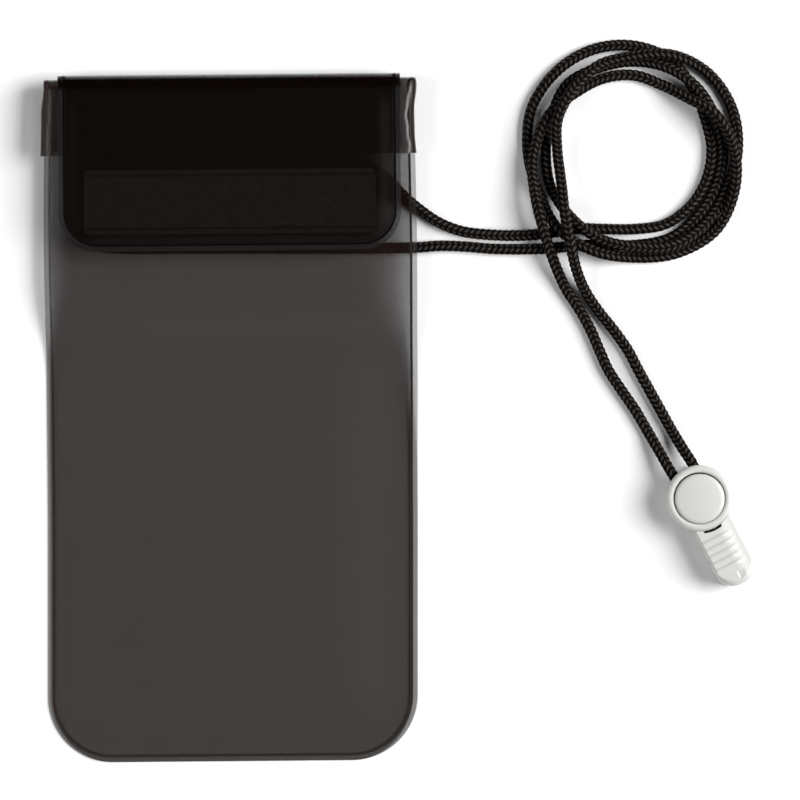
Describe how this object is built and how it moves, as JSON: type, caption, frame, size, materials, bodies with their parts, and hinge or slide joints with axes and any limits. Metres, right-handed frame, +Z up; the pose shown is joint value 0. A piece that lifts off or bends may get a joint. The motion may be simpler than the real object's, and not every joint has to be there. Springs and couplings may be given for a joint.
{
  "type": "waterproof phone pouch",
  "caption": "Flat welded film pouch with a folded press-seal mouth under a hook-and-loop flap, and a neck cord with a push-button cord lock and end cap.",
  "frame": {"origin": "on the table, under the middle of the pouch itself (the neck cord and its clasp lie outside it, towards +X)", "axes": "+Z up from the table, +Y from the pouch's bottom edge to its folded top, +X across the pouch towards the side where the cord lies"},
  "size_m": [0.2071, 0.2094, 0.0106],
  "materials": {
    "back_film": "smoke-tinted soft PVC film",
    "front_film": "smoke-tinted soft PVC film",
    "flap_film": "smoke-tinted soft PVC film",
    "flap_lining_film": "smoke-tinted soft PVC film",
    "strap_film": "smoke-tinted soft PVC film",
    "upper_rib_vinyl": "smoke-tinted extruded vinyl",
    "lower_rib_vinyl": "smoke-tinted extruded vinyl",
    "upper_groove_vinyl": "smoke-tinted extruded vinyl",
    "lower_groove_vinyl": "smoke-tinted extruded vinyl",
    "hook_nylon": "black woven tape with nylon hooks",
    "loop_nylon": "black brushed loop tape",
    "cord_braid": "black round braid",
    "lock_plastic": "satin white moulding",
    "button_plastic": "satin white moulding",
    "cover_plastic": "satin white moulding",
    "tray_plastic": "satin white moulding",
    "spring_steel": "bright spring wire"
  },
  "bodies": {
    "pouch": {"back_panel": "back_film", "front_panel": "front_film", "flap_outer": "flap_film", "flap_lining": "flap_lining_film", "rear_strap": "strap_film", "zip_upper_rib": "upper_rib_vinyl", "zip_upper_groove": "upper_groove_vinyl", "zip_lower_rib": "lower_rib_vinyl", "zip_lower_groove": "lower_groove_vinyl", "hook_strip": "hook_nylon", "loop_strip": "loop_nylon", "neck_cord": "cord_braid", "lock_body": "lock_plastic", "lock_spring": "spring_steel", "end_cap_cover": "cover_plastic", "end_cap_tray": "tray_plastic"},
    "button": {"lock_button": "button_plastic"}
  },
  "joints": [
    {"name": "button_press", "type": "slide", "parent": "pouch", "child": "button", "axis": [0, 0, -1], "range_m": [0, 0.0012], "stiffness_N_per_m": 600, "springref_m": -0.004, "deforming": ["lock_spring"]}
  ]
}
